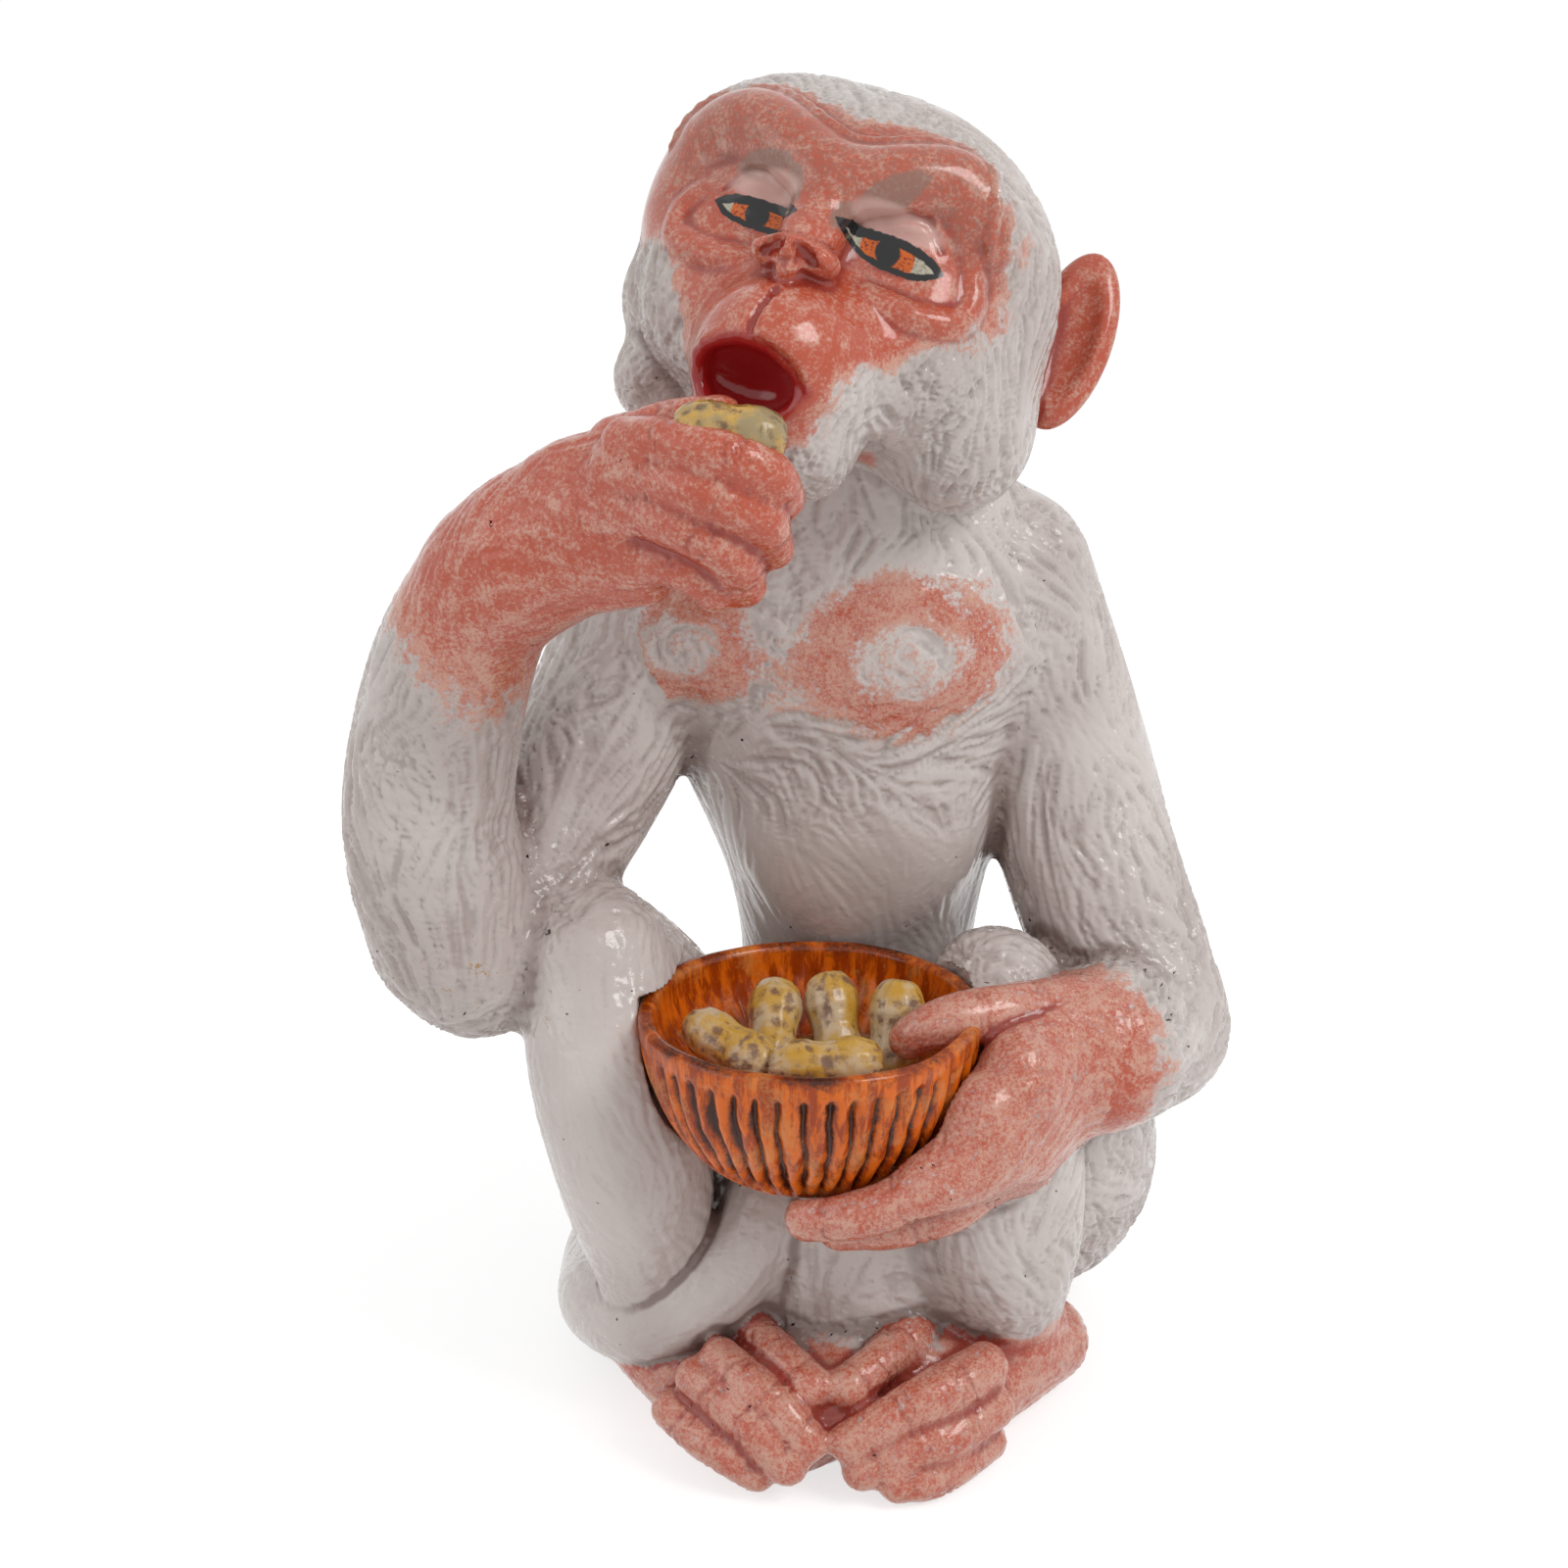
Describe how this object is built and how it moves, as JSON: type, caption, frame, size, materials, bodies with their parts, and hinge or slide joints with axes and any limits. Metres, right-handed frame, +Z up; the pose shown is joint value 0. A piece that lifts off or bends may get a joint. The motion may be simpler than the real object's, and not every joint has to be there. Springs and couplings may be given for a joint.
{
  "type": "monkey figurine",
  "caption": "Seated glazed ceramic monkey eating a peanut from one fist and cradling a ribbed bowl of peanuts.",
  "frame": {"origin": "on the ground plane, under the middle of the figure's outline", "axes": "+Z up through the head, -Y ahead of the figure, +X to its left side"},
  "size_m": [0.2756, 0.2384, 0.4207],
  "materials": {
    "white_glaze": "gloss",
    "coral_glaze": "gloss",
    "bowl_glaze": "gloss",
    "peanut_glaze": "gloss"
  },
  "bodies": {
    "root": {"bowl": "bowl_glaze", "head": "white_glaze", "held_peanut": "peanut_glaze", "left_ear": "coral_glaze", "left_finger_1": "coral_glaze", "left_finger_2": "coral_glaze", "left_finger_3": "coral_glaze", "left_finger_4": "coral_glaze", "left_foot": "coral_glaze", "left_forearm": "white_glaze", "left_hand": "coral_glaze", "left_shin": "white_glaze", "left_thigh": "white_glaze", "left_thumb": "coral_glaze", "left_toe_1": "coral_glaze", "left_toe_2": "coral_glaze", "left_toe_3": "coral_glaze", "left_toe_4": "coral_glaze", "left_upper_arm": "white_glaze", "peanut_1": "peanut_glaze", "peanut_2": "peanut_glaze", "peanut_3": "peanut_glaze", "peanut_4": "peanut_glaze", "peanut_5": "peanut_glaze", "peanut_6": "peanut_glaze", "peanut_7": "peanut_glaze", "peanut_8": "peanut_glaze", "right_ear": "coral_glaze", "right_finger_1": "coral_glaze", "right_finger_2": "coral_glaze", "right_finger_3": "coral_glaze", "right_finger_4": "coral_glaze", "right_foot": "coral_glaze", "right_forearm": "white_glaze", "right_hand": "coral_glaze", "right_shin": "white_glaze", "right_thigh": "white_glaze", "right_thumb": "coral_glaze", "right_toe_1": "coral_glaze", "right_toe_2": "coral_glaze", "right_toe_3": "coral_glaze", "right_toe_4": "coral_glaze", "right_upper_arm": "white_glaze", "tail": "white_glaze", "torso": "white_glaze"}
  },
  "joints": []
}
